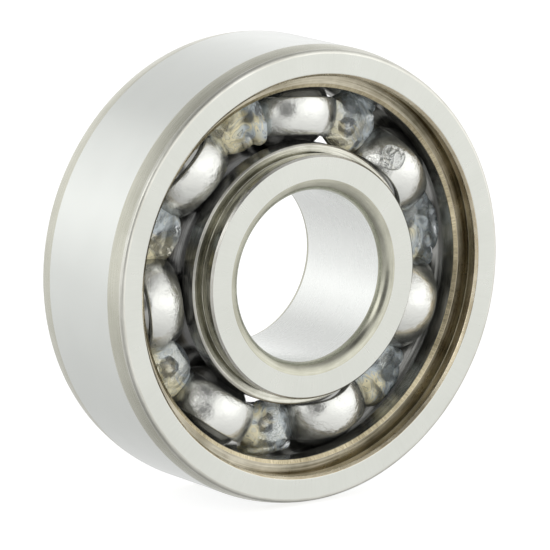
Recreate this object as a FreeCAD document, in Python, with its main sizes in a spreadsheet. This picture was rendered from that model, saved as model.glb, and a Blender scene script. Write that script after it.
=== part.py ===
"""Open single-row deep-groove ball bearing, 12 x 32 x 10 mm.

The bearing stands on edge. Its axis is Y, its front face looks towards -Y, +Z is up, and the
origin is the centre of the bearing. All sizes are millimetres and live in the sheet.
Angles go round the axis from +X towards +Z, as seen from the front.
"""
import FreeCAD, Part
import math
import os

import Sketcher

os.makedirs("parts", exist_ok=True)
doc = FreeCAD.newDocument("ball_bearing")

BALL_COUNT = 7
STEP_ANGLE = 360.0 / BALL_COUNT
# the cage came to rest with its first ball just right of the top
UPRIGHT = 90.0
FIRST_BALL_ANGLE = 84.0

DIMENSIONS = {
    # boundary sizes of the bearing
    "bore_radius": 6.0,
    "outside_radius": 16.0,
    "half_width": 5.0,
    # ball set and raceways
    "ball_radius": 2.9765,
    "pitch_radius": 11.0,
    "radial_play": 0.015,
    "inner_raceway_radius": 3.066,
    "outer_raceway_radius": 3.155,
    "inner_shoulder": 9.12,
    "outer_shoulder": 13.0,
    # outer ring corner: a nearly flat bevel that rounds into the face
    "corner_width": 1.4,
    "corner_height": 0.5,
    "bevel_end": 0.3,
    "bevel_drop": 0.2,
    "bevel_arc": 6.0,
    "corner_arc": 0.32,
    # outer ring recess, with a snap groove behind its lip
    "outer_lip": 13.93,
    "outer_lip_bevel": 0.2,
    "outer_lip_depth": 0.85,
    "outer_groove": 14.25,
    "outer_seat_corner": 0.37,
    # inner ring recess
    "inner_lip": 8.52,
    "inner_lip_bevel": 0.15,
    "inner_lip_depth": 0.88,
    "inner_groove": 8.36,
    "inner_seat_corner": 0.2,
    # common to both recesses
    "groove_slope": 0.12,
    "seat_depth": 1.3,
    "seat_corner_depth": 0.16,
    # rounded corner of the bore
    "bore_corner_width": 0.8,
    "bore_corner_height": 0.85,
    "bore_corner_arc": 0.9,
    # pressed ribbon cage
    "sheet_thickness": 0.45,
    "pocket_play": 0.08,
    "bend_radius": 0.35,
    "band_inner": 9.66,
    "band_outer": 12.3,
    "cutter_reach": 17.0,
    "cutter_overrun": 0.2,
    # rivets
    "shank_radius": 0.45,
    "shank_play": 0.01,
    "head_radius": 0.66,
    "head_height": 0.42,
    # grease lying on the lands
    "grease_height": 1.3,
    "grease_half_length": 1.9,
    "grease_half_breadth": 1.45,
    "grease_gap": 0.02,
}

sheet = doc.addObject("Spreadsheet::Sheet", "Dimensions")
for row, (word, value) in enumerate(DIMENSIONS.items(), start=1):
    sheet.set("A%d" % row, word)
    sheet.set("B%d" % row, str(value))
    sheet.setAlias("B%d" % row, word)
doc.recompute()


class Length:
    """A length that holds its value and the formula over the sheet that gives it."""

    def __init__(self, value, formula):
        self.value = float(value)
        self.formula = formula

    def __add__(self, other):
        other = as_length(other)
        return Length(self.value + other.value, "(%s + %s)" % (self.formula, other.formula))

    def __sub__(self, other):
        other = as_length(other)
        return Length(self.value - other.value, "(%s - %s)" % (self.formula, other.formula))

    def __mul__(self, other):
        other = as_length(other)
        return Length(self.value * other.value, "(%s * %s)" % (self.formula, other.formula))

    def __truediv__(self, other):
        other = as_length(other)
        return Length(self.value / other.value, "(%s / %s)" % (self.formula, other.formula))

    def __neg__(self):
        return Length(-self.value, "(0 - %s)" % self.formula)

    def root(self):
        return Length(math.sqrt(self.value), "sqrt(%s)" % self.formula)


def as_length(number):
    """A plain number as a Length; a Length stays as it is."""
    return number if isinstance(number, Length) else Length(number, repr(float(number)))


def size(word):
    """One cell of the sheet as a Length."""
    return Length(sheet.get(word), "Dimensions." + word)


def half_chord(radius, offset):
    """Half the chord that lies at a given offset from the centre of a circle."""
    return (radius * radius - offset * offset).root()


# ---------------------------------------------------------------- sketches and features
def origin_feature(body, role):
    """One of the body's own origin planes or axes, such as XY_Plane or Y_Axis."""
    return next(item for item in body.Origin.OriginFeatures if item.Role == role)


def new_sketch(body, name, plane):
    """A sketch that lies flat on one of the body's own origin planes."""
    sketch = body.newObject("Sketcher::SketchObject", name)
    sketch.AttachmentSupport = [(origin_feature(body, plane), "")]
    sketch.MapMode = "FlatFace"
    return sketch


def arc_between(first, last, radius):
    """An arc from first to last; a positive radius puts its centre left of the way along."""
    chord = last - first
    middle = (first + last) * 0.5
    reach = math.sqrt(max(radius * radius - chord.Length ** 2 / 4.0, 0.0))
    left = FreeCAD.Vector(-chord.y, chord.x, 0).normalize()
    towards_centre = left if radius > 0 else -left
    centre = middle + towards_centre * reach
    crown = centre - towards_centre * abs(radius)
    return Part.Arc(first, crown, last)


def bind(sketch, constraint, length):
    """Add a constraint to a sketch and bind it to the sheet."""
    index = sketch.addConstraint(constraint)
    sketch.setExpression("Constraints[%d]" % index, length.formula)


def place_point(sketch, edge, end, x, y):
    """Hold one end of an edge at its distances from the sketch's origin."""
    bind(sketch, Sketcher.Constraint("DistanceX", -1, 1, edge, end, x.value), x)
    bind(sketch, Sketcher.Constraint("DistanceY", -1, 1, edge, end, y.value), y)


def draw_outline(sketch, corners):
    """Draw a closed outline of corners (x, y) or (x, y, radius of the arc that ends there)."""
    points = [FreeCAD.Vector(as_length(c[0]).value, as_length(c[1]).value, 0) for c in corners]
    drawn = []
    for index, corner in enumerate(corners):
        first, last = points[index - 1], points[index]
        if len(corner) == 2:
            edge = sketch.addGeometry(Part.LineSegment(first, last), False)
        else:
            edge = sketch.addGeometry(arc_between(first, last, corner[2].value), False)
            radius = Length(abs(corner[2].value), "abs(%s)" % corner[2].formula)
            bind(sketch, Sketcher.Constraint("Radius", edge, radius.value), radius)
        # an arc is stored anticlockwise, so its start may be the last point drawn
        forwards = sketch.getPoint(edge, 1).distanceToPoint(first) < 1e-6
        drawn.append((edge, 1, 2) if forwards else (edge, 2, 1))
    for index, corner in enumerate(corners):
        edge, _, end = drawn[index]
        following, start, _ = drawn[(index + 1) % len(drawn)]
        sketch.addConstraint(Sketcher.Constraint("Coincident", edge, end, following, start))
        place_point(sketch, edge, end, as_length(corner[0]), as_length(corner[1]))


def draw_circle(sketch, radius, x=0.0, y=0.0):
    """Draw a circle whose centre and radius come from the sheet."""
    x, y = as_length(x), as_length(y)
    centre = FreeCAD.Vector(x.value, y.value, 0)
    circle = Part.Circle(centre, FreeCAD.Vector(0, 0, 1), radius.value)
    edge = sketch.addGeometry(circle, False)
    bind(sketch, Sketcher.Constraint("Radius", edge, radius.value), radius)
    place_point(sketch, edge, 3, x, y)


def draw_axis(sketch, height):
    """Draw a level construction line, the first one of the sketch, as an axis to turn about."""
    half_length = 5.0
    first = FreeCAD.Vector(-half_length, height.value, 0)
    last = FreeCAD.Vector(half_length, height.value, 0)
    edge = sketch.addGeometry(Part.LineSegment(first, last), True)
    place_point(sketch, edge, 1, as_length(-half_length), height)
    place_point(sketch, edge, 2, as_length(half_length), height)


def turn(body, kind, sketch, axis="V_Axis"):
    """Turn a sketch about one of its axes: kind is Revolution or Groove."""
    feature = body.newObject("PartDesign::" + kind, sketch.Name + "_turned")
    feature.Profile = sketch
    feature.ReferenceAxis = (sketch, [axis])
    feature.Angle = 360.0
    return feature


def repeat_around(body, feature):
    """Repeat a feature once for each ball around the bearing's axis."""
    pattern = body.newObject("PartDesign::PolarPattern", feature.Name + "_pattern")
    pattern.Originals = [feature]
    pattern.Axis = (origin_feature(body, "Y_Axis"), [""])
    pattern.Angle = 360.0
    pattern.Occurrences = BALL_COUNT
    body.Tip = pattern
    return pattern


def cut_through(body, sketch):
    """Pocket a sketch on the XZ plane through the front half, towards -Y."""
    pocket = body.newObject("PartDesign::Pocket", sketch.Name + "_cut")
    pocket.Profile = sketch
    pocket.Type = "ThroughAll"
    pocket.Reversed = True
    return pocket


def mirrored(front):
    """A full ring outline from its front half, mirrored to the back half.

    Every corner's arc belongs to the edge that ends there, so the arcs move on by one corner.
    """
    arcs = [corner[2:] for corner in front]
    back = []
    for index in range(len(front) - 1, -1, -1):
        arc = arcs[index + 1] if index + 1 < len(front) else ()
        back.append((front[index][0], -front[index][1]) + arc)
    return front, back


# ---------------------------------------------------------------- places around the pitch circle
def around(angle):
    """The direction out from the bearing's axis at an angle, 0 along +X and 90 along +Z."""
    return FreeCAD.Vector(math.cos(math.radians(angle)), 0, math.sin(math.radians(angle)))


def ball_angle(number):
    return FIRST_BALL_ANGLE - STEP_ANGLE * (number - 1)


def land_angle(number):
    """The middle of the cage land that follows ball number, clockwise from the front."""
    return ball_angle(number) - STEP_ANGLE / 2.0


# ---------------------------------------------------------------- rings
def outer_ring():
    """Ground ring with a raceway, two shoulders, and a stepped recess open to each face."""
    body = doc.addObject("PartDesign::Body", "outer_ring")
    face = -size("half_width")
    lip = size("outer_lip")
    groove_start = face + size("outer_lip_depth")
    seat = face + size("seat_depth")
    shoulder = size("outer_shoulder")
    raceway = size("outer_raceway_radius")
    bottom = size("pitch_radius") + size("ball_radius") + size("radial_play")
    raceway_edge = half_chord(raceway, shoulder - (bottom - raceway))
    outside = size("outside_radius")
    front = [
        (outside, face + size("corner_width")),
        (outside - size("bevel_drop"), face + size("bevel_end"), -size("bevel_arc")),
        (outside - size("corner_height"), face, -size("corner_arc")),
        (lip + size("outer_lip_bevel"), face),
        (lip, face + size("outer_lip_bevel")),
        (lip, groove_start),
        (size("outer_groove"), groove_start + size("groove_slope")),
        (size("outer_groove"), seat),
        (shoulder + size("outer_seat_corner"), seat),
        (shoulder, seat + size("seat_corner_depth")),
        (shoulder, -raceway_edge),
    ]
    front_half, back_half = mirrored(front)
    back_half[0] = back_half[0] + (raceway,)
    sketch = new_sketch(body, "outer_ring_section", "XY_Plane")
    draw_outline(sketch, front_half + back_half)
    turn(body, "Revolution", sketch)
    return body


def inner_ring():
    """Ground ring with the bore, a raceway, and a stepped recess outside each face."""
    body = doc.addObject("PartDesign::Body", "inner_ring")
    face = -size("half_width")
    lip = size("inner_lip")
    groove_start = face + size("inner_lip_depth")
    seat = face + size("seat_depth")
    shoulder = size("inner_shoulder")
    raceway = size("inner_raceway_radius")
    bottom = size("pitch_radius") - size("ball_radius") - size("radial_play")
    raceway_edge = half_chord(raceway, bottom + raceway - shoulder)
    bore = size("bore_radius")
    front = [
        (bore, face + size("bore_corner_width")),
        (bore + size("bore_corner_height"), face, size("bore_corner_arc")),
        (lip - size("inner_lip_bevel"), face),
        (lip, face + size("inner_lip_bevel")),
        (lip, groove_start),
        (size("inner_groove"), groove_start + size("groove_slope")),
        (size("inner_groove"), seat),
        (shoulder - size("inner_seat_corner"), seat),
        (shoulder, seat + size("seat_corner_depth")),
        (shoulder, -raceway_edge),
    ]
    front_half, back_half = mirrored(front)
    back_half[0] = back_half[0] + (-raceway,)
    sketch = new_sketch(body, "inner_ring_section", "XY_Plane")
    draw_outline(sketch, front_half + back_half)
    turn(body, "Revolution", sketch)
    return body


def ball(number):
    """One ball, on the pitch circle in the middle plane."""
    name = "ball_%d" % number
    sphere = doc.addObject("Part::Sphere", name)
    sphere.setExpression("Radius", size("ball_radius").formula)
    sphere.Placement.Base = around(ball_angle(number)) * size("pitch_radius").value
    return sphere


# ---------------------------------------------------------------- cage
POCKET_INNER = size("ball_radius") + size("pocket_play")
POCKET_OUTER = POCKET_INNER + size("sheet_thickness")
BEND_CENTRE_HEIGHT = size("sheet_thickness") + size("bend_radius")
BEND_CENTRE_REACH = half_chord(POCKET_OUTER + size("bend_radius"), BEND_CENTRE_HEIGHT)


def cup_section(sketch, cup_radius, bend, foot, base):
    """Half the section of one cup: a dome that bends outwards into the flat land.

    The dome rises towards -Y. foot is the height at which the bend ends, base is where the
    section closes. The bend turns about the same centre on both faces of the sheet.
    """
    pitch = size("pitch_radius")
    share = cup_radius / (POCKET_OUTER + size("bend_radius"))
    draw_axis(sketch, pitch)
    draw_outline(sketch, [
        (base, pitch),
        (-cup_radius, pitch),
        (-(BEND_CENTRE_HEIGHT * share), pitch + BEND_CENTRE_REACH * share, -cup_radius),
        (-foot, pitch + BEND_CENTRE_REACH, bend),
        (base, pitch + BEND_CENTRE_REACH),
    ])


def cage_half(name, turned_over):
    """One pressed half of the ribbon cage: seven cups joined by flat, drilled lands.

    It is drawn as the front half with its first cup at the top, then turned to the first ball.
    The back half is the same piece, turned over about the line from the centre to that ball.
    """
    body = doc.addObject("PartDesign::Body", name)
    sheet_thickness, bend = size("sheet_thickness"), size("bend_radius")
    nothing = as_length(0.0)

    blank = new_sketch(body, name + "_blank", "XZ_Plane")
    draw_circle(blank, size("band_inner"))
    draw_circle(blank, size("band_outer"))
    pad = body.newObject("PartDesign::Pad", name + "_lands")
    pad.Profile = blank
    pad.setExpression("Length", sheet_thickness.formula)

    dome = new_sketch(body, name + "_dome", "YZ_Plane")
    cup_section(dome, POCKET_OUTER, bend, sheet_thickness, nothing)
    repeat_around(body, turn(body, "Revolution", dome, "Axis0"))

    trim = new_sketch(body, name + "_trim", "XZ_Plane")
    for word in ("band_inner", "band_outer", "cutter_reach"):
        draw_circle(trim, size(word))
    cut_through(body, trim)

    pocket = new_sketch(body, name + "_pocket", "YZ_Plane")
    cup_section(pocket, POCKET_INNER, bend + sheet_thickness, nothing, size("cutter_overrun"))
    repeat_around(body, turn(body, "Groove", pocket, "Axis0"))

    hole = new_sketch(body, name + "_rivet_hole", "XZ_Plane")
    middle = around(UPRIGHT - STEP_ANGLE / 2.0)
    pitch = size("pitch_radius")
    draw_circle(hole, size("shank_radius") + size("shank_play"), pitch * middle.x, pitch * middle.z)
    repeat_around(body, cut_through(body, hole))

    rotation = FreeCAD.Rotation(FreeCAD.Vector(0, 1, 0), UPRIGHT - FIRST_BALL_ANGLE)
    if turned_over:
        rotation = FreeCAD.Rotation(around(FIRST_BALL_ANGLE), 180) * rotation
    body.Placement.Rotation = rotation
    return body


def rivet(number):
    """One cage rivet: a shank through both lands and a domed head on each."""
    name = "rivet_%d" % number
    body = doc.addObject("PartDesign::Body", name)
    land = size("sheet_thickness")
    top = land + size("head_height")
    head, shank = size("head_radius"), size("shank_radius")
    dome = (head * head + size("head_height") * size("head_height")) / (size("head_height") * 2.0)
    sketch = new_sketch(body, name + "_section", "XY_Plane")
    draw_outline(sketch, [
        (0.0, -top),
        (head, -land, dome),
        (shank, -land),
        (shank, land),
        (head, land),
        (0.0, top, dome),
    ])
    turn(body, "Revolution", sketch)
    body.Placement.Base = around(land_angle(number)) * size("pitch_radius").value
    return body


# ---------------------------------------------------------------- grease
def grease(number, side):
    """One plain lump of grease on a land of the cage, round the rivet head.

    It is drawn on a land in the XY plane with Z as its height, cut clear of the two cups
    beside it and of the rivet head, then stood on its land. side is "front" or "back".
    """
    name = "grease_%s_%d" % (side, number)
    body = doc.addObject("PartDesign::Body", name)
    land = size("sheet_thickness")

    lump = body.newObject("PartDesign::AdditiveEllipsoid", name + "_lump")
    lump.Angle1 = 0.0
    lump.setExpression("Radius1", size("grease_height").formula)
    lump.setExpression("Radius2", size("grease_half_length").formula)
    lump.setExpression("Radius3", size("grease_half_breadth").formula)
    lump.setExpression("Placement.Base.z", land.formula)

    keep_clear = (BEND_CENTRE_REACH * BEND_CENTRE_REACH + land * land).root()
    half_step = around(STEP_ANGLE / 2.0)
    for end, way in (("left", -1.0), ("right", 1.0)):
        cup = body.newObject("PartDesign::SubtractiveSphere", name + "_cup_" + end)
        cup.setExpression("Radius", keep_clear.formula)
        cup.setExpression("Placement.Base.x", (size("pitch_radius") * (way * half_step.z)).formula)
        cup.setExpression("Placement.Base.y", (size("pitch_radius") * (half_step.x - 1.0)).formula)

    head = body.newObject("PartDesign::SubtractiveCylinder", name + "_head")
    head.setExpression("Radius", (size("head_radius") + size("grease_gap")).formula)
    head.setExpression("Height", (land + size("head_height") + size("grease_gap")).formula)

    out = around(land_angle(number))
    up = FreeCAD.Vector(0, -1 if side == "front" else 1, 0)
    body.Placement = FreeCAD.Placement(
        out * size("pitch_radius").value, FreeCAD.Rotation(out.cross(up), out, up, "ZYX")
    )
    return body


# ---------------------------------------------------------------- build, check and write
pieces = [outer_ring(), inner_ring(), cage_half("cage_front", False), cage_half("cage_back", True)]
for number in range(1, BALL_COUNT + 1):
    pieces += [ball(number), rivet(number), grease(number, "front"), grease(number, "back")]

doc.recompute()
for item in doc.Objects:
    if "Invalid" in item.State or "Error" in item.State:
        raise RuntimeError("%s failed: %s" % (item.Name, item.State))
for piece in pieces:
    shape = piece.Shape
    if shape.isNull() or not shape.isValid() or len(shape.Solids) != 1:
        raise RuntimeError(piece.Label + " is not one valid solid")
    print("%-16s volume %9.3f mm3" % (piece.Label, shape.Volume))
for piece in pieces:
    piece.Shape.exportStep("parts/" + piece.Label + ".step")
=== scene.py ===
import math

import bmesh
import bpy
from mathutils import Euler, Matrix, Vector, noise


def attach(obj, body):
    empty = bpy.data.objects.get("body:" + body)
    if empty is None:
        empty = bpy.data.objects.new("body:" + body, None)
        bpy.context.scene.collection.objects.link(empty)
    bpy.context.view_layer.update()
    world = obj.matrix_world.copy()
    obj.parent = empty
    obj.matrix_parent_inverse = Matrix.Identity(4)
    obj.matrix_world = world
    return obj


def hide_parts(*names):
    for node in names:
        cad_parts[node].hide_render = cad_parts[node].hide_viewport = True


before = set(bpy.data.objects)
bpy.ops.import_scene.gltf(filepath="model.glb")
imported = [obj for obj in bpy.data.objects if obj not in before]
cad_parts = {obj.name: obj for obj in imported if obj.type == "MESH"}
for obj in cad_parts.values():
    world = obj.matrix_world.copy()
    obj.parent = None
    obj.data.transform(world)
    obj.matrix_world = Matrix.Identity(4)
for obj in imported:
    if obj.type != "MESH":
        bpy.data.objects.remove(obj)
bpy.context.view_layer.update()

MM = 0.001

noise.seed_set(7)                                    # unseeded, noise_vector draws its offsets from the clock

# ---------------------------------------------------------------- the bearing's sizes, in millimetres
OUTSIDE_RADIUS = 16.0
BORE_RADIUS = 6.0
FACE = 5.0                                           # half the width
RECESS_FLOOR = 3.7                                   # from the middle plane to the floor of a recess
OUTER_SHOULDER, INNER_SHOULDER = 13.0, 9.12          # where the balls' grooves begin
OUTER_LIP, OUTER_SEAT = 13.93, 14.25                 # the outer ring's recess, in front and behind
INNER_LIP, INNER_SEAT = 8.52, 8.36                   # the inner ring's recess, in front and behind
OUTER_GROOVE_BOTTOM, INNER_GROOVE_BOTTOM = 13.9915, 8.0085
OUTER_GROOVE_HALF, INNER_GROOVE_HALF = 2.296, 2.362  # half the width of each groove
OUTER_GROOVE_CURVE, INNER_GROOVE_CURVE = 3.155, 3.066  # radius of each groove's section
GROOVE_POINTS = 14                                   # between a groove's edge and its bottom

PITCH_RADIUS = 11.0
BALLS = 7
STEP = 2.0 * math.pi / BALLS                         # the angle from one ball to the next
FIRST_BALL = math.radians(84.0)

SHEET = 0.45                                         # the cage's thickness
CUP_MIDDLE = 3.2815                                  # radius of the middle of the sheet over a ball
BEND_REACH, BEND_HEIGHT = 3.7726, 0.8                # centre of the bend from a cup to its land
BEND_MIDDLE = BEND_HEIGHT - SHEET / 2.0              # radius of the middle of the sheet in that bend
CAGE_INNER, CAGE_OUTER = 9.66, 12.3

# ---------------------------------------------------------------- how finely the meshes are made
RING_STEPS = 384                                     # around a ring
ROUNDING_POINTS = 6                                  # over a deburred edge
SHEET_SPACING, SHEET_ROWS = 0.13, 16                 # along and across the cage's sheet
EDGE_POINTS = 5                                      # over each quarter turn of a blanked edge
GREASE_VOXEL = 0.085


def at(radius, angle, depth):
    """A point from its radius, its angle around the axis and its place along the axis, in metres."""
    return Vector((radius * math.cos(angle), depth, radius * math.sin(angle))) * MM


# ---------------------------------------------------------------- node materials
class Shader:
    """A material and short ways to add nodes to it."""

    def __init__(self, name):
        self.material = bpy.data.materials.new(name)
        self.material.use_nodes = True
        self.tree = self.material.node_tree
        self.tree.nodes.clear()
        self.output = self.tree.nodes.new("ShaderNodeOutputMaterial")
        self.place = self.add("TexCoord").outputs["Object"]

    def add(self, kind, inputs=None, **settings):
        node = self.tree.nodes.new("ShaderNode" + kind)
        for key, value in settings.items():
            setattr(node, key, value)
        for key, value in (inputs or {}).items():
            if isinstance(value, bpy.types.NodeSocket):
                self.tree.links.new(value, node.inputs[key])
            else:
                node.inputs[key].default_value = value
        return node

    def math(self, operation, a, b=0.0, c=0.0):
        return self.add("Math", {0: a, 1: b, 2: c}, operation=operation).outputs[0]

    def noise(self, vector, scale, detail=3.0, rough=0.5, distortion=0.0):
        made = self.add("TexNoise", {
            "Vector": vector, "Scale": scale, "Detail": detail, "Roughness": rough,
            "Distortion": distortion})
        return made.outputs["Fac"]

    def spread(self, value, low, high, start=0.3, end=0.7):
        made = self.add("MapRange", {
            "Value": value, "From Min": start, "From Max": end, "To Min": low, "To Max": high})
        return made.outputs["Result"]

    def mix(self, share, a, b):
        made = self.add("Mix", data_type="RGBA")
        for socket, value in zip((made.inputs[0], made.inputs[6], made.inputs[7]), (share, a, b)):
            if isinstance(value, bpy.types.NodeSocket):
                self.tree.links.new(value, socket)
            else:
                socket.default_value = value if isinstance(value, float) else (*value, 1.0)
        return made.outputs[2]

    def lay(self, along, across):
        """Coordinates of a ring: 'along' is how fast they change around it, 'across' over its section."""
        x, y, z = self.add("SeparateXYZ", {0: self.place}).outputs
        squares = self.math("ADD", self.math("MULTIPLY", x, x), self.math("MULTIPLY", z, z))
        radius = self.math("SQRT", squares)
        section = self.math("ADD", radius, self.math("MULTIPLY", y, 1.37))
        return self.add("CombineXYZ", {
            0: self.math("MULTIPLY", self.math("DIVIDE", x, radius), along),
            1: self.math("MULTIPLY", section, across),
            2: self.math("MULTIPLY", self.math("DIVIDE", z, radius), along)}).outputs[0]

    def bump(self, height, strength, distance, before=None):
        inputs = {"Height": height, "Strength": strength, "Distance": distance}
        if before is not None:
            inputs["Normal"] = before
        return self.add("Bump", inputs).outputs[0]

    def finish(self, colour, rough, normal=None, **fixed):
        inputs = {"Base Color": colour, "Roughness": rough}
        if normal is not None:
            inputs["Normal"] = normal
        inputs.update(fixed)
        body = self.add("BsdfPrincipled", inputs)
        self.tree.links.new(body.outputs[0], self.output.inputs[0])
        return self.material


def steel(name, light, dark, rough, spread, lines, lines_strength, along, across, grain=0.0, stain=None,
          **fixed):
    """Bare steel: a tone that drifts, machining lines around the ring or across it, and fine grain.

    'light' and 'dark' are the ends of the tone, 'spread' is how far the roughness strays from 'rough',
    'lines' is the height of the machining lines in millimetres, 'along' and 'across' are as in lay,
    and 'stain' is a tint and its share.
    """
    s = Shader(name)
    patches = s.noise(s.place, 260.0, 4.0, 0.6)
    marks = s.noise(s.lay(along, across), 1.0, 5.0, 0.65)
    drift = s.math("ADD", s.math("MULTIPLY", patches, 0.5), s.math("MULTIPLY", marks, 0.5))
    colour = s.mix(s.spread(drift, 0.0, 1.0, 0.38, 0.62), dark, light)
    if stain is not None:
        tint, share = stain
        clouds = s.noise(s.lay(along * 0.7, across * 0.16), 1.0, 4.0, 0.6, 0.4)
        colour = s.mix(s.spread(clouds, 0.0, share, 0.42, 0.66), colour, tint)
    roughness = s.spread(s.math("ADD", s.math("MULTIPLY", s.noise(s.place, 900.0), 0.5),
                                s.math("MULTIPLY", marks, 0.5)), rough - spread, rough + spread)
    normal = s.bump(marks, lines_strength, lines * MM)
    if grain:
        normal = s.bump(s.noise(s.place, 9000.0, 2.0, 0.6), grain, 0.004 * MM, normal)
    return s.finish(colour, roughness, normal, **{"Metallic": 1.0, **fixed})


FACE_STEEL = steel("lapped_face", (0.655, 0.665, 0.617), (0.622, 0.632, 0.584), 0.30, 0.05, 0.002, 0.35,
                   along=70.0, across=240.0)
GROUND_STEEL = steel("ground_cylinder", (0.762, 0.780, 0.750), (0.732, 0.750, 0.720), 0.20, 0.03,
                     0.0008, 0.3, along=3.0, across=21000.0)
BORE_STEEL = steel("ground_bore", (0.915, 0.930, 0.908), (0.892, 0.907, 0.885), 0.27, 0.03, 0.0008, 0.3,
                   along=3.0, across=21000.0, Metallic=0.86)
CORNER_STEEL = steel("tumbled_corner", (0.65, 0.645, 0.56), (0.53, 0.525, 0.445), 0.27, 0.07, 0.005, 0.5,
                     along=5.0, across=9000.0, grain=0.25)
RIM_STEEL = steel("tumbled_rim", (0.82, 0.815, 0.75), (0.60, 0.595, 0.53), 0.34, 0.06, 0.005, 0.5,
                  along=12.0, across=9000.0, grain=0.3)
BORE_CORNER_STEEL = steel("turned_bore_corner", (0.58, 0.575, 0.48), (0.40, 0.395, 0.32), 0.22, 0.06,
                          0.006, 0.6, along=3.0, across=9000.0, grain=0.2)
LIP_STEEL = steel("turned_lip", (0.60, 0.56, 0.44), (0.27, 0.25, 0.185), 0.20, 0.06, 0.008, 0.7,
                  along=2.0, across=8500.0, grain=0.2, stain=((0.42, 0.31, 0.18), 0.5))
SEAT_STEEL = steel("turned_seat", (0.52, 0.485, 0.38), (0.21, 0.19, 0.135), 0.17, 0.07, 0.010, 0.8,
                   along=2.0, across=8500.0, grain=0.2, stain=((0.36, 0.30, 0.20), 0.4))
FLOOR_STEEL = steel("turned_floor", (0.64, 0.60, 0.485), (0.15, 0.135, 0.09), 0.30, 0.08, 0.014, 0.9,
                    along=2.0, across=6500.0, grain=0.2, stain=((0.34, 0.28, 0.18), 0.35))
BEVEL_STEEL = steel("bright_bevel", (0.93, 0.85, 0.66), (0.66, 0.56, 0.38), 0.26, 0.06, 0.006, 0.6,
                    along=20.0, across=9000.0, grain=0.3)
INNER_BEVEL_STEEL = steel("inner_bevel", (0.80, 0.79, 0.74), (0.60, 0.585, 0.525), 0.24, 0.06, 0.006, 0.6,
                          along=20.0, across=9000.0, grain=0.3)
INNER_SEAT_STEEL = steel("oiled_seat", (0.56, 0.55, 0.47), (0.11, 0.105, 0.08), 0.17, 0.07, 0.010, 0.8,
                         along=2.0, across=8000.0, grain=0.2)
INNER_STEP_STEEL = steel("turned_step", (0.80, 0.79, 0.70), (0.38, 0.375, 0.31), 0.17, 0.07, 0.010, 0.8,
                         along=2.0, across=8000.0, grain=0.2)
EDGE_STEEL = steel("speckled_edge", (0.70, 0.62, 0.43), (0.30, 0.255, 0.16), 0.20, 0.07, 0.008, 0.7,
                   along=170.0, across=9000.0, grain=0.5)
# Painted shade: the shoulders' tones are kept dark to stand for the shade of the cavity between the rings.
SHOULDER_STEEL = steel("shoulder_with_painted_shade", (0.50, 0.50, 0.46), (0.07, 0.07, 0.055), 0.20, 0.07, 0.008, 0.8,
                       along=3.0, across=8000.0, stain=((0.22, 0.20, 0.16), 0.5), Metallic=0.88)
INNER_SHOULDER_STEEL = steel("inner_shoulder_with_painted_shade", (0.44, 0.44, 0.42), (0.035, 0.035, 0.03), 0.20,
                             0.07, 0.008, 0.8, along=3.0, across=8000.0, Metallic=0.9)
# Painted shade: the raceways' tones are kept dark to stand for the shade of the cavity between the rings.
RACEWAY_STEEL = steel("honed_raceway_painted_shade", (0.40, 0.40, 0.38), (0.12, 0.12, 0.11), 0.18, 0.06, 0.006, 0.7,
                      along=3.0, across=7000.0, Metallic=0.85)
INNER_RACEWAY_STEEL = steel("inner_raceway_painted_shade", (0.24, 0.24, 0.235), (0.03, 0.03, 0.027), 0.22, 0.07,
                            0.008, 0.8, along=3.0, across=7000.0, Metallic=0.9)
BALL_STEEL = steel("polished_ball", (0.42, 0.42, 0.405), (0.33, 0.33, 0.315), 0.07, 0.03, 0.0008, 0.2,
                   along=4.0, across=5000.0, Metallic=0.9)
RIVET_STEEL = steel("pressed_rivet", (0.60, 0.59, 0.56), (0.46, 0.45, 0.42), 0.22, 0.06, 0.003, 0.4,
                    along=30.0, across=8000.0, grain=0.2)


def cage_steel():
    """Pressed sheet, tumbled smoother on the cups' crowns and the lands; its colour is painted light there
    and painted dark down the walls and bends, as shade of the cavity.
    """
    s = Shader("pressed_cage_sheet")
    peel = s.noise(s.place, 4300.0, 4.0, 0.62, 0.4)
    rubs = s.noise(s.place, 800.0, 4.0, 0.65, 0.6)
    height = s.math("ABSOLUTE", s.add("SeparateXYZ", {0: s.place}).outputs[1])
    crown = s.spread(s.math("MULTIPLY_ADD", rubs, 0.9 * MM, height), 0.0, 1.0, 1.45 * MM, 2.65 * MM)
    facing = s.add("VectorTransform", {0: s.add("NewGeometry").outputs["Normal"]},
                   vector_type="NORMAL", convert_from="WORLD", convert_to="OBJECT")
    flat = s.math("ABSOLUTE", s.add("SeparateXYZ", {0: facing.outputs[0]}).outputs[1])
    low = s.spread(height, 1.0, 0.0, 0.5 * MM, 0.62 * MM)
    land = s.math("MULTIPLY", s.spread(flat, 0.0, 1.0, 0.92, 0.99), low)
    # painted light and shade: crowns and lands take the light colour, walls and bends the dark one
    painted_light_share = s.math("MAXIMUM", crown, land)
    colour = s.mix(painted_light_share, (0.24, 0.24, 0.225), (0.775, 0.780, 0.742))
    rough = s.math("MULTIPLY_ADD", rubs, 0.10, s.spread(painted_light_share, 0.24, 0.09, 0.0, 1.0))
    grain = s.noise(s.place, 7000.0, 3.0, 0.65, 0.8)
    scuffed = s.spread(s.noise(s.place, 700.0, 3.0, 0.6, 0.8), 0.0, 1.0, 0.50, 0.60)
    dents = s.bump(s.noise(s.place, 1100.0, 1.0, 0.5, 0.6), 0.5, 0.06 * MM)
    normal = s.bump(peel, 0.9, 0.018 * MM, s.bump(grain, scuffed, 0.030 * MM, dents))
    return s.finish(colour, rough, normal, **{"Metallic": 0.93})


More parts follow.
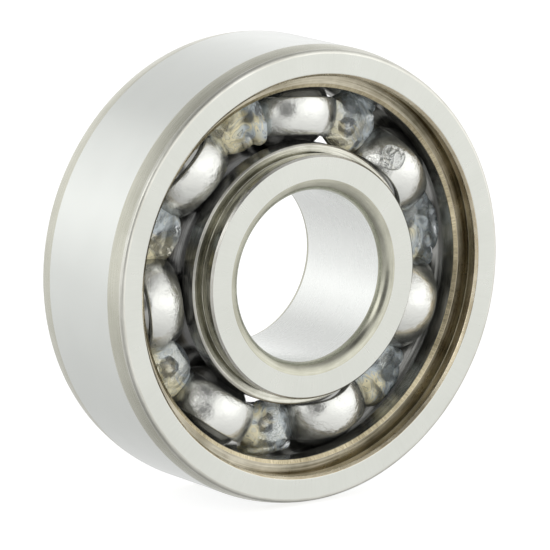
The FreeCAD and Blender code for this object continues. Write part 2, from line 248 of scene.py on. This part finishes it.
def grease_gel():
    """Clear gel grease: blue-grey where it scatters light, amber where light crosses it, folded inside."""
    s = Shader("clear_grease")
    amber = s.add("Attribute", attribute_name="amber").outputs["Fac"]
    thin = s.add("Attribute", attribute_name="thin").outputs["Fac"]
    haze = s.noise(s.place, 380.0, 3.0, 0.5, 1.4)
    swirl = s.noise(s.place, 430.0, 1.0, 0.4, 2.6)
    rings = s.math("ABSOLUTE", s.math("SINE", s.math("MULTIPLY", swirl, 34.0)))
    line = s.spread(rings, 1.0, 0.0, 0.02, 0.26)
    marble = s.math("SINE", s.math("MULTIPLY", swirl, 25.0))
    amber = s.spread(s.math("MULTIPLY_ADD", marble, 0.32, amber), 0.0, 1.0, 0.16, 0.90)
    tint = s.mix(amber, s.mix(thin, (0.92, 0.95, 0.96), (0.97, 0.97, 0.97)), (1.0, 0.945, 0.76))
    milk = s.mix(amber, (0.66, 0.73, 0.76), (1.0, 0.92, 0.62))
    milk = s.mix(s.math("MULTIPLY", line, 0.85), milk, (0.13, 0.155, 0.165))
    veil = s.math("MULTIPLY_ADD", line, 0.25, s.spread(haze, 0.16, 0.88, 0.44, 0.58))
    veil = s.math("MULTIPLY", veil, s.math("MULTIPLY_ADD", thin, -0.85, 1.0))
    normal = s.bump(s.math("MULTIPLY_ADD", line, -0.35, swirl), 0.30, 0.09 * MM)
    clear = s.add("BsdfPrincipled", {
        "Base Color": tint, "Roughness": 0.04, "IOR": 1.38, "Transmission Weight": 1.0, "Normal": normal})
    cloud = s.add("BsdfPrincipled", {
        "Base Color": milk, "Roughness": 0.09, "IOR": 1.44, "Normal": normal})
    both = s.add("MixShader", {0: veil, 1: clear.outputs[0], 2: cloud.outputs[0]})
    s.tree.links.new(both.outputs[0], s.output.inputs[0])
    return s.material


CAGE_STEEL = cage_steel()
GREASE = grease_gel()

# The zones of the two rings' surfaces.
ZONES = {
    "face": FACE_STEEL,
    "bore": BORE_STEEL,
    "ground": GROUND_STEEL,
    "corner": CORNER_STEEL,
    "lip": LIP_STEEL,
    "bore_corner": BORE_CORNER_STEEL,
    "seat": SEAT_STEEL,
    "edge": EDGE_STEEL,
    "floor": FLOOR_STEEL,
    "rim": RIM_STEEL,
    "bevel": BEVEL_STEEL,
    "inner_bevel": INNER_BEVEL_STEEL,
    "inner_seat": INNER_SEAT_STEEL,
    "inner_step": INNER_STEP_STEEL,
    "shoulder": SHOULDER_STEEL,
    "inner_shoulder": INNER_SHOULDER_STEEL,
    "raceway": RACEWAY_STEEL,
    "inner_raceway": INNER_RACEWAY_STEEL,
}


def mesh_piece(name, vertices, faces, materials, indices=None):
    """A smooth mesh object with its materials, in the scene."""
    mesh = bpy.data.meshes.new(name)
    mesh.from_pydata(vertices, [], faces)
    for material in materials:
        mesh.materials.append(material)
    mesh.polygons.foreach_set("use_smooth", [True] * len(mesh.polygons))
    if indices is not None:
        mesh.polygons.foreach_set("material_index", indices)
    mesh.update()
    made = bpy.data.objects.new(name, mesh)
    bpy.context.scene.collection.objects.link(made)
    return made


# ---------------------------------------------------------------- turned rings
def arc(start, end, radius, count):
    """Points strictly between start and end; a positive radius bulges to the left of start to end."""
    (r0, y0), (r1, y1) = start, end
    middle = ((r0 + r1) / 2.0, (y0 + y1) / 2.0)
    half = math.hypot(r1 - r0, y1 - y0) / 2.0
    back = math.sqrt(radius * radius - half * half)
    across = (-(y1 - y0) / (2.0 * half), (r1 - r0) / (2.0 * half))
    way = 1.0 if radius > 0.0 else -1.0
    centre = (middle[0] - across[0] * back * way, middle[1] - across[1] * back * way)
    a0 = math.atan2(y0 - centre[1], r0 - centre[0])
    a1 = math.atan2(y1 - centre[1], r1 - centre[0])
    turn = (a1 - a0 + math.pi) % (2.0 * math.pi) - math.pi
    size = abs(radius)
    return [(centre[0] + size * math.cos(a0 + turn * k / (count + 1)),
             centre[1] + size * math.sin(a0 + turn * k / (count + 1))) for k in range(1, count + 1)]


def sharp(start, end, radius, count, zone):
    """An arc's points as corners that soften leaves alone."""
    return [(r, y, 0.0, zone) for r, y in arc(start, end, radius, count)]


def soften(corners):
    """Corners (radius, depth, rounding, zone) as points: each sharp edge becomes a small deburred one."""
    points = []
    for index, (r, y, rounding, zone) in enumerate(corners):
        if rounding == 0.0:
            points.append((r, y, zone))
            continue
        before, after = corners[index - 1], corners[(index + 1) % len(corners)]
        to_before = Vector((before[0] - r, before[1] - y))
        to_after = Vector((after[0] - r, after[1] - y))
        half_angle = to_before.angle(to_after) / 2.0
        reach = min(rounding / math.tan(half_angle), to_before.length * 0.45, to_after.length * 0.45)
        start = Vector((r, y)) + to_before.normalized() * reach
        end = Vector((r, y)) + to_after.normalized() * reach
        for k in range(ROUNDING_POINTS):
            t = k / (ROUNDING_POINTS - 1.0)
            bend = start * (1 - t) ** 2 + Vector((r, y)) * 2 * t * (1 - t) + end * t * t
            points.append((bend.x, bend.y, before[3] if k < ROUNDING_POINTS // 2 else zone))
    return points


def ring(name, front, wall, node, body):
    """A turned ring from the front half of its section, which is mirrored for the back half."""
    zones = list(ZONES)
    back = [(r, -y, rounding, front[i - 1][3]) for i, (r, y, rounding, _) in enumerate(front)][::-1]
    corners = front + back
    corners[-1] = (*corners[-1][:3], wall)            # the plain cylinder closes the section
    points = soften(corners)
    count = len(points)
    area = sum(points[i][0] * points[(i + 1) % count][1] - points[(i + 1) % count][0] * points[i][1]
               for i in range(count))
    way = 1.0 if area > 0 else -1.0
    normals = []
    for i in range(count):
        total = Vector((0.0, 0.0))
        for a, b in ((points[i - 1], points[i]), (points[i], points[(i + 1) % count])):
            total += Vector((b[1] - a[1], a[0] - b[0])) * way
        normals.append(total.normalized())
    vertices, directions, faces, materials = [], [], [], []
    for j in range(RING_STEPS):
        angle = 2.0 * math.pi * j / RING_STEPS
        for (r, y, _), n in zip(points, normals):
            vertices.append(at(r, angle, y))
            directions.append(Vector((n.x * math.cos(angle), n.y, n.x * math.sin(angle))))
    for j in range(RING_STEPS):
        following = (j + 1) % RING_STEPS
        for i in range(count):
            a, b = j * count + i, j * count + (i + 1) % count
            c, d = following * count + (i + 1) % count, following * count + i
            faces.append((a, b, c, d) if way > 0 else (a, d, c, b))
            materials.append(zones.index(points[i][2]))
    made = mesh_piece(name, vertices, faces, [ZONES[z] for z in zones], materials)
    made.data.normals_split_custom_set_from_vertices(directions)
    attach(made, body)
    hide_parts(node)


# Each ring's front half, from its plain cylinder over the face and the recess to the groove's bottom:
# (radius, place along the axis, rounding, zone of the surface that begins there).
outer_front = [
    (OUTSIDE_RADIUS, -3.6, 0.0, "corner"),
    *sharp((OUTSIDE_RADIUS, -3.6), (15.8, -4.7), 6.0, 6, "corner"),
    (15.8, -4.7, 0.0, "rim"),
    *sharp((15.8, -4.7), (15.5, -FACE), 0.32, 8, "rim"),
    (15.5, -FACE, 0.03, "face"),
    (14.13, -FACE, 0.12, "bevel"),
    (OUTER_LIP, -4.8, 0.12, "lip"),
    (OUTER_LIP, -4.15, 0.08, "bevel"),
    (OUTER_SEAT, -4.03, 0.06, "seat"),
    (OUTER_SEAT, -RECESS_FLOOR, 0.08, "floor"),
    (13.28, -RECESS_FLOOR, 0.10, "edge"),
    (OUTER_SHOULDER, -3.54, 0.08, "shoulder"),
    (OUTER_SHOULDER, -OUTER_GROOVE_HALF, 0.0, "raceway"),
    *sharp((OUTER_SHOULDER, -OUTER_GROOVE_HALF), (OUTER_GROOVE_BOTTOM, 0.0), -OUTER_GROOVE_CURVE,
           GROOVE_POINTS, "raceway")]
inner_front = [
    (BORE_RADIUS, -4.2, 0.0, "bore_corner"),
    *sharp((BORE_RADIUS, -4.2), (6.85, -FACE), -0.9, 12, "bore_corner"),
    (6.85, -FACE, 0.03, "face"),
    (8.37, -FACE, 0.04, "inner_bevel"),
    (INNER_LIP, -4.85, 0.05, "inner_seat"),
    (INNER_LIP, -4.12, 0.06, "inner_seat"),
    (INNER_SEAT, -4.0, 0.06, "inner_seat"),
    (INNER_SEAT, -RECESS_FLOOR, 0.08, "inner_step"),
    (8.99, -RECESS_FLOOR, 0.05, "inner_bevel"),
    (INNER_SHOULDER, -3.59, 0.05, "inner_shoulder"),
    (INNER_SHOULDER, -INNER_GROOVE_HALF, 0.0, "inner_raceway"),
    *sharp((INNER_SHOULDER, -INNER_GROOVE_HALF), (INNER_GROOVE_BOTTOM, 0.0), INNER_GROOVE_CURVE,
           GROOVE_POINTS, "inner_raceway")]

ring("outer_ring_turned", outer_front, "ground", "outer_ring", "outer_ring")
ring("inner_ring_turned", inner_front, "bore", "inner_ring", "inner_ring")

# ---------------------------------------------------------------- the cage's pressed sheet
BLANKED_EDGE = 0.13                                  # radius of the sheet's rolled edges
DENT = 0.003                                         # how far the pressed sheet strays from its true shape


def cup_height(distance):
    """The sheet's height over the bearing's middle plane, and its slope, at a distance from a cup's axis."""
    share = CUP_MIDDLE / (CUP_MIDDLE + BEND_MIDDLE)
    if distance <= BEND_REACH * share:
        height = math.sqrt(CUP_MIDDLE ** 2 - distance ** 2)
        return height, -distance / height
    if distance < BEND_REACH:
        drop = math.sqrt(BEND_MIDDLE ** 2 - (BEND_REACH - distance) ** 2)
        return BEND_HEIGHT - drop, -(BEND_REACH - distance) / drop
    return SHEET / 2.0, 0.0


def sheet_point(radius, turn, offset, dents):
    """A point of the sheet at a radius and a turn from a ball, and an offset from the sheet's middle."""
    outward, across = radius * math.cos(turn) - PITCH_RADIUS, radius * math.sin(turn)
    distance = math.hypot(outward, across)
    height, slope = cup_height(distance)
    size = math.sqrt(1.0 + slope * slope)
    lift = offset + DENT * noise.noise(Vector((outward, across, dents)) * 0.7)
    side = -slope / size * lift / max(distance, 1e-6)
    return outward * (1.0 + side), across * (1.0 + side), height + lift / size


def even_turns(spacing):
    """Turns from one land's middle to the next, evenly spaced along the sheet."""
    fine = 4000
    turns = [-STEP / 2.0 + STEP * k / fine for k in range(fine + 1)]
    lengths, before = [0.0], None
    for turn in turns:
        here = Vector(sheet_point(PITCH_RADIUS, turn, 0.0, 0.0))
        if before is not None:
            lengths.append(lengths[-1] + (here - before).length)
        before = here
    pieces = round(lengths[-1] / spacing)
    made, k = [], 0
    for index in range(pieces):
        wanted = lengths[-1] * index / pieces
        while lengths[k + 1] < wanted:
            k += 1
        share = (wanted - lengths[k]) / (lengths[k + 1] - lengths[k])
        made.append(turns[k] + share * (turns[k + 1] - turns[k]))
    return made


def sheet_loop(edge, across):
    """The sheet's cut section, radius and offset, with both blanked edges rolled round."""
    half, middle = (CAGE_OUTER - CAGE_INNER) / 2.0, (CAGE_OUTER + CAGE_INNER) / 2.0
    thick = SHEET / 2.0
    loop = []
    for cx, cy, start in ((half - edge, thick - edge, 0), (edge - half, thick - edge, 90),
                          (edge - half, edge - thick, 180), (half - edge, edge - thick, 270)):
        for k in range(EDGE_POINTS):
            a = math.radians(start + 90.0 * k / (EDGE_POINTS - 1.0))
            loop.append((middle + cx + edge * math.cos(a), cy + edge * math.sin(a)))
        if start in (0, 180):
            way = 1.0 if start == 0 else -1.0
            for k in range(1, across):
                loop.append((middle + way * (half - edge) * (1.0 - 2.0 * k / across), way * thick))
    return loop


def cage_half(name, side, node):
    """One half of the cage: the cut section carried once round, over seven cups and seven lands."""
    turns, loop = even_turns(SHEET_SPACING), sheet_loop(BLANKED_EDGE, SHEET_ROWS)
    vertices, faces = [], []
    for number in range(BALLS):
        ball = FIRST_BALL - STEP * number
        for turn in turns:
            for radius, offset in loop:
                outward, across, height = sheet_point(radius, turn, offset, 7.3 * number + 40.0 * side)
                outward += PITCH_RADIUS
                angle = ball - math.atan2(across, outward)
                vertices.append(at(math.hypot(outward, across), angle, side * height))
    rows, columns = len(turns) * BALLS, len(loop)
    for i in range(rows):
        following = (i + 1) % rows
        for j in range(columns):
            a, b = i * columns + j, i * columns + (j + 1) % columns
            c, d = following * columns + (j + 1) % columns, following * columns + j
            faces.append((a, b, c, d) if side < 0 else (a, d, c, b))
    made = mesh_piece(name, vertices, faces, [CAGE_STEEL])
    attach(made, "cage")
    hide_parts(node)


cage_half("cage_front_pressed", -1.0, "cage_front")
cage_half("cage_back_pressed", 1.0, "cage_back")

# ---------------------------------------------------------------- grease on the lands
AMBER_WAY = Vector((-0.55, 0.0, -0.50))              # the lumps yellow towards this side, per millimetre
RIPPLE, CREASE = 0.12, 0.05                          # how high the skin ripples and how deep it creases


def skin(name, blobs, seed):
    """One wet skin over several round blobs, in millimetres, gently rippled and creased."""
    shape = bmesh.new()
    for centre, radii, turn in blobs:
        bmesh.ops.create_icosphere(
            shape, subdivisions=4, radius=1.0,
            matrix=Matrix.LocRotScale(Vector(centre), Euler(turn), Vector(radii)))
    mesh = bpy.data.meshes.new(name + "_blobs")
    shape.to_mesh(mesh)
    shape.free()
    rough = bpy.data.objects.new(name + "_blobs", mesh)
    bpy.context.scene.collection.objects.link(rough)
    remesh = rough.modifiers.new("skin", "REMESH")
    remesh.mode, remesh.voxel_size = "VOXEL", GREASE_VOXEL
    flow = rough.modifiers.new("flow", "SMOOTH")
    flow.factor, flow.iterations = 0.5, 14
    evaluated = rough.evaluated_get(bpy.context.evaluated_depsgraph_get())
    made = bpy.data.meshes.new_from_object(evaluated)
    bpy.data.objects.remove(rough)
    bpy.data.meshes.remove(mesh)
    points = [v.co.copy() for v in made.vertices]
    normals = [v.normal.copy() for v in made.vertices]
    for k, (point, normal) in enumerate(zip(points, normals)):
        where = point * 0.42 + Vector((seed, 0.0, -seed))
        warp = noise.noise_vector(where * 1.6) * 0.35
        wave = noise.noise(where + warp)
        fold = abs(math.sin(wave * 8.0))
        points[k] = point + normal * (RIPPLE * wave - CREASE * max(0.0, 1.0 - fold / 0.45) ** 2)
    faces = [tuple(p.vertices) for p in made.polygons]
    bpy.data.meshes.remove(made)
    return points, faces


def grease(name, angle, side, blobs, seed, yellow, node):
    """Grease at an angle around the cage; its blobs are placed along the ring, outwards, and up."""
    points, faces = skin(name, blobs, seed)
    out = Vector((math.cos(angle), 0.0, math.sin(angle)))
    along = Vector((math.sin(angle), 0.0, -math.cos(angle)))
    up = Vector((0.0, side, 0.0))
    for way in (1.0, -1.0):                          # the lump ends inside the sheet of both cups
        cup = Vector((way * PITCH_RADIUS * math.sin(STEP / 2.0),
                      PITCH_RADIUS * (math.cos(STEP / 2.0) - 1.0), 0.0))
        for k, p in enumerate(points):
            if (p - cup).length < CUP_MIDDLE:
                points[k] = cup + (p - cup).normalized() * CUP_MIDDLE
    vertices = [(out * (PITCH_RADIUS + p.y) + along * p.x + up * p.z) * MM for p in points]
    if side > 0:
        faces = [face[::-1] for face in faces]
    made = mesh_piece(name, vertices, faces, [GREASE])
    amber = made.data.attributes.new("amber", "FLOAT", "POINT")
    for k, p in enumerate(points):
        drift = noise.noise(Vector((p.x * 0.6 + seed, p.y * 0.6, p.z * 0.6)))
        share = yellow + 1.3 * drift + AMBER_WAY.dot(out * p.y + along * p.x)
        amber.data[k].value = min(1.0, max(0.0, share))
    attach(made, "cage")
    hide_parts(node)


def chance(seed, low, high):
    """A number between low and high that is always the same for a seed."""
    share = 0.5 + 0.9 * noise.noise(Vector((seed * 1.37, seed * 0.71, 4.2)))
    return low + (high - low) * min(1.0, max(0.0, share))


UNTURNED = (0.0, 0.0, 0.0)


def lump_blobs(seed, wide, out):
    """The main lump, a tail towards the outer ring, and two bulges on top: (centre, radii, turn)."""
    blobs = [((chance(seed, -0.15, 0.15), chance(seed + 1, 0.10, 0.25) + out, 0.55),
              (chance(seed + 2, 2.1, 2.5) * wide, chance(seed + 3, 1.95, 2.05) * wide,
               chance(seed + 4, 1.05, 1.20)),
              (0.0, 0.0, chance(seed + 5, -0.12, 0.12))),
             ((chance(seed + 15, -0.5, 0.5), 1.75, 0.10),
              (1.25, chance(seed + 16, 0.55, 0.80), 1.15),
              UNTURNED)]
    for k, (x, y) in enumerate(((-0.9, 1.15), (0.9, 1.25))):
        size = chance(seed + 6 + k * 1.9, 0.45, 0.80)
        centre = (x + chance(seed + 8 + k, -0.3, 0.3), y + chance(seed + 9 + k, -0.3, 0.12),
                  0.90 + size * 0.45)
        blobs.append((centre, (size, size * 0.8, size * 0.8), UNTURNED))
    return blobs


# How yellow the grease is on each land.
YELLOW = (0.46, 0.24, -0.55, 0.12, 0.48, 0.46, 0.62)
# Where a front lump spreads further: along the ring, out from the pitch circle, up, and its three radii.
SPREADS = {
    1: [(-0.9, 1.45, 0.75, 0.7, 0.55, 0.7), (-0.2, -1.35, 0.9, 1.0, 0.6, 0.7),
        (0.3, 2.1, 0.1, 1.4, 0.7, 1.2)],
    2: [(-1.8, 1.45, 0.80, 1.0, 0.50, 0.8), (1.8, 1.50, 0.55, 1.0, 0.50, 0.8),
        (0.0, 2.15, 0.2, 2.0, 0.65, 1.3)],
    3: [(1.3, 1.30, 0.95, 1.3, 0.90, 0.9), (0.4, 2.15, 0.2, 2.0, 0.65, 1.3),
        (-1.4, 1.5, 0.6, 0.9, 0.6, 0.9)],
    4: [(-1.6, 1.50, 0.45, 0.8, 0.50, 0.6)],
    6: [(-0.8, -0.6, 1.10, 0.8, 1.00, 0.7), (0.2, -1.0, 1.00, 1.5, 0.75, 0.9)],
    7: [(1.1, 0.00, 1.50, 0.8, 1.90, 1.0), (-0.2, -1.1, 1.00, 1.4, 0.75, 0.8)],
}
# Each side's sign along the axis, its lumps' width and push outwards, and its first seed. The back lumps
# are narrower and further out, because they keep off the cage's inner edge.
SIDES = {"front": (-1.0, 1.0, 0.0, 3.0), "back": (1.0, 0.74, 0.30, 91.0)}

for word, (side, wide, out, first_seed) in SIDES.items():
    for number in range(BALLS):
        seed = 10.0 * number + first_seed
        blobs = lump_blobs(seed, wide, out)
        if word == "front":
            blobs += [(spread[:3], spread[3:], UNTURNED) for spread in SPREADS.get(number + 1, [])]
        grease("grease_%s_lump_%d" % (word, number + 1), FIRST_BALL - STEP * (number + 0.5), side, blobs,
               seed, YELLOW[number], "grease_%s_%d" % (word, number + 1))


def smear(name, ball, along, out, size, seed):
    """A thin wrinkled smear of grease on the crown of the front cup over a ball."""
    angle = FIRST_BALL - STEP * (ball - 1)
    outward = Vector((math.cos(angle), 0.0, math.sin(angle)))
    clockwise = Vector((math.sin(angle), 0.0, -math.cos(angle)))
    cup = CUP_MIDDLE + SHEET / 2.0
    middle = (clockwise * along + outward * out) / cup
    middle.y = -math.sqrt(1.0 - middle.length_squared)
    first = middle.cross(Vector((0.0, 0.0, 1.0))).normalized()
    second = middle.cross(first)
    rings, spokes = 34, 96
    vertices, faces = [], []
    for side in (1.0, -1.0):
        for i in range(rings + 1):
            share = i / rings
            for j in range(spokes):
                turn = 2.0 * math.pi * j / spokes
                outline = Vector((math.cos(turn) * 0.9 + seed, math.sin(turn) * 0.9, 0.0))
                reach = size * (1.0 + 0.14 * noise.noise(outline))
                u, v = reach * share * math.cos(turn), reach * share * math.sin(turn)
                warp = noise.noise_vector(Vector((u * 1.5, v * 1.5, seed))) * 0.8
                wrinkle = abs(noise.noise(Vector((u * 1.9 + seed, v * 1.9, 1.0)) + warp))
                rim = math.exp(-((share - 0.80) / 0.10) ** 2)
                swell = 0.02 + 0.40 * wrinkle + 0.10 * rim
                lift = swell * (1.0 - share ** 6) if side > 0 else -0.04     # the underside is sunk
                way = (middle + (first * u + second * v) / cup).normalized()
                vertices.append((outward * PITCH_RADIUS + way * (cup + lift)) * MM)
    ring_count = (rings + 1) * spokes
    for half in (0, 1):
        for i in range(rings):
            for j in range(spokes):
                row = half * ring_count + i * spokes
                a, b = row + j, row + (j + 1) % spokes
                faces.append((a, b, b + spokes, a + spokes) if half else (a, a + spokes, b + spokes, b))
    for j in range(spokes):
        a, b = rings * spokes + j, rings * spokes + (j + 1) % spokes
        faces.append((a, a + ring_count, b + ring_count, b))
    made = mesh_piece(name, vertices, faces, [GREASE])
    thin = made.data.attributes.new("thin", "FLOAT", "POINT")
    thin.data.foreach_set("value", [1.0] * len(vertices))
    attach(made, "cage")


smear("grease_smear_on_cup_2", 2, -1.77, -0.24, 0.95, 5.0)

# ---------------------------------------------------------------- materials of the carried-over nodes
# The balls and rivets keep their CAD shapes; the others are hidden behind the pieces above.
for name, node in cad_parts.items():
    for word, material in (("ball_", BALL_STEEL), ("rivet_", RIVET_STEEL), ("cage_", CAGE_STEEL),
                           ("grease_", GREASE), ("outer_", GROUND_STEEL), ("inner_", GROUND_STEEL)):
        if name.startswith(word):
            node.data.materials.clear()
            node.data.materials.append(material)

# ---------------------------------------------------------------- studio
def studio_floor():
    """A pale floor under the bearing; it glows a little, so that it shows as white."""
    half = 3.0
    mesh = bpy.data.meshes.new("studio_floor")
    level = -OUTSIDE_RADIUS * MM
    corners = [(-half, -half, level), (half, -half, level), (half, half, level), (-half, half, level)]
    mesh.from_pydata(corners, [], [(0, 1, 2, 3)])
    made = bpy.data.objects.new("studio_floor", mesh)
    bpy.context.scene.collection.objects.link(made)
    s = Shader("pale_floor")
    tone = s.mix(s.spread(s.noise(s.place, 6.0), 0.0, 1.0), (0.56, 0.56, 0.56), (0.58, 0.58, 0.58))
    paint = s.add("BsdfPrincipled", {"Base Color": tone, "Roughness": 0.8, "Specular IOR Level": 0.1,
                                     "Emission Color": (1.0, 1.0, 1.0, 1.0), "Emission Strength": 0.72})
    s.tree.links.new(paint.outputs[0], s.output.inputs[0])
    mesh.materials.append(s.material)
    made.visible_glossy = False          # the steel mirrors the tent's own white table instead


class Tent:
    """The white tent round the bearing: brightness by height, brighter panels and darker openings."""

    BRIGHTEST = 1.2                                  # what the ramp's white stands for
    BACKDROP = 1.1                                   # what the camera sees behind the bearing

    def __init__(self):
        world = bpy.data.worlds.new("white_tent")
        bpy.context.scene.world = world
        world.use_nodes = True
        self.tree = world.node_tree
        self.tree.nodes.clear()
        place = self.add("TexCoord").outputs["Generated"]
        self.way = self.add("VectorMath", {0: place}, operation="NORMALIZE").outputs[0]
        height = self.add("SeparateXYZ", {0: self.way}).outputs[2]
        share = self.add("MapRange", {"Value": height, "From Min": -1.0, "From Max": 1.0}).outputs[0]
        ramp = self.add("ValToRGB", {"Fac": share})
        stops = [(-90, 0.35), (-60, 0.52), (-45, 0.62), (-33, 0.74), (-20, 0.84), (-7, 0.93), (2, 1.06),
                 (13, 1.08), (24, 0.93), (34, 0.80), (45, 0.70), (56, 0.52), (70, 0.40), (90, 0.34)]
        elements = ramp.color_ramp.elements
        while len(elements) < len(stops):
            elements.new(0.5)
        for element, (elevation, level) in zip(elements, stops):
            element.position = (math.sin(math.radians(elevation)) + 1.0) / 2.0
            element.color = (level / self.BRIGHTEST, level / self.BRIGHTEST, level / self.BRIGHTEST, 1.0)
        grey = self.add("RGBToBW", {0: ramp.outputs[0]}).outputs[0]
        self.level = self.math("MULTIPLY", grey, self.BRIGHTEST)

    add = Shader.add
    math = Shader.math

    def patch(self, azimuth, elevation, inner, outer):
        """1 inside a round patch of the tent, fading to 0 at its outer angle."""
        a, e = math.radians(azimuth), math.radians(elevation)
        towards = Vector((math.sin(a) * math.cos(e), -math.cos(a) * math.cos(e), math.sin(e)))
        facing = self.add("VectorMath", {0: self.way, 1: towards}, operation="DOT_PRODUCT").outputs["Value"]
        return self.add("MapRange", {
            "Value": facing,
            "From Min": math.cos(math.radians(outer)), "From Max": math.cos(math.radians(inner)),
            "To Min": 0.0, "To Max": 1.0}, interpolation_type="SMOOTHSTEP").outputs["Result"]

    def dim(self, amount, *patch):
        """Multiplies the patch's brightness by amount."""
        factor = self.math("MULTIPLY_ADD", self.patch(*patch), amount - 1.0, 1.0)
        self.level = self.math("MULTIPLY", self.level, factor)

    def glow(self, amount, *patch):
        """Adds amount to the patch's brightness."""
        self.level = self.math("MULTIPLY_ADD", self.patch(*patch), amount, self.level)

    def finish(self):
        """Joins the brightness to the world's light."""
        seen = self.add("LightPath").outputs["Is Camera Ray"]
        level = self.add("Mix", {0: seen, 2: self.level, 3: self.BACKDROP}, data_type="FLOAT").outputs[0]
        light = self.add("Background", {"Color": (1.0, 1.0, 1.0, 1.0), "Strength": level})
        self.tree.links.new(light.outputs[0], self.add("OutputWorld").inputs[0])


studio_floor()
tent = Tent()
tent.glow(0.14, -150.0, 24.0, 6.0, 24.0)        # backdrop, left of the bearing
tent.glow(0.12, 20.0, -25.0, 30.0, 75.0)        # the white table in front
tent.glow(0.28, 36.0, 19.0, 14.0, 42.0)         # broad soft panel at the right
tent.dim(0.62, -75.0, -38.0, 15.0, 45.0)        # the table falls away at the left
tent.glow(1.0, -65.0, 31.0, 8.0, 19.0)          # small panel high at the left
tent.dim(0.20, -34.0, 8.0, 9.0, 26.0)           # the opening that the picture is taken through
tent.dim(0.30, -26.0, 54.0, 8.0, 22.0)          # dark gap in the tent's roof
tent.dim(0.60, 112.0, -50.0, 8.0, 28.0)         # the bearing's own shade on the table under it
tent.finish()

# ---------------------------------------------------------------- camera
def camera():
    """A long lens in front of the bearing's face, to the left and a little above."""
    azimuth, elevation = math.radians(-34.77), math.radians(11.55)
    distance, to_left, to_top = 0.3585, 0.002680, 0.000187
    back = Vector((math.sin(azimuth) * math.cos(elevation), -math.cos(azimuth) * math.cos(elevation),
                   math.sin(elevation)))
    right = Vector((math.cos(azimuth), math.sin(azimuth), 0.0))
    up = back.cross(right)
    data = bpy.data.cameras.new("product_camera")
    data.sensor_width, data.lens = 36.0, 341.9
    data.clip_start, data.clip_end = 0.01, 20.0
    made = bpy.data.objects.new("product_camera", data)
    centre = Vector((0.0, -FACE * MM, 0.0))
    made.matrix_world = Matrix((
        (right.x, up.x, back.x, 0.0), (right.y, up.y, back.y, 0.0), (right.z, up.z, back.z, 0.0),
        (0.0, 0.0, 0.0, 1.0)))
    made.location = centre + back * distance - right * to_left + up * to_top
    bpy.context.scene.collection.objects.link(made)
    bpy.context.scene.camera = made


camera()
bpy.context.scene.view_settings.view_transform = "Standard"
cycles = bpy.context.scene.cycles                    # light crosses the polished cavity many times
cycles.max_bounces, cycles.glossy_bounces, cycles.transmission_bounces = 24, 16, 16
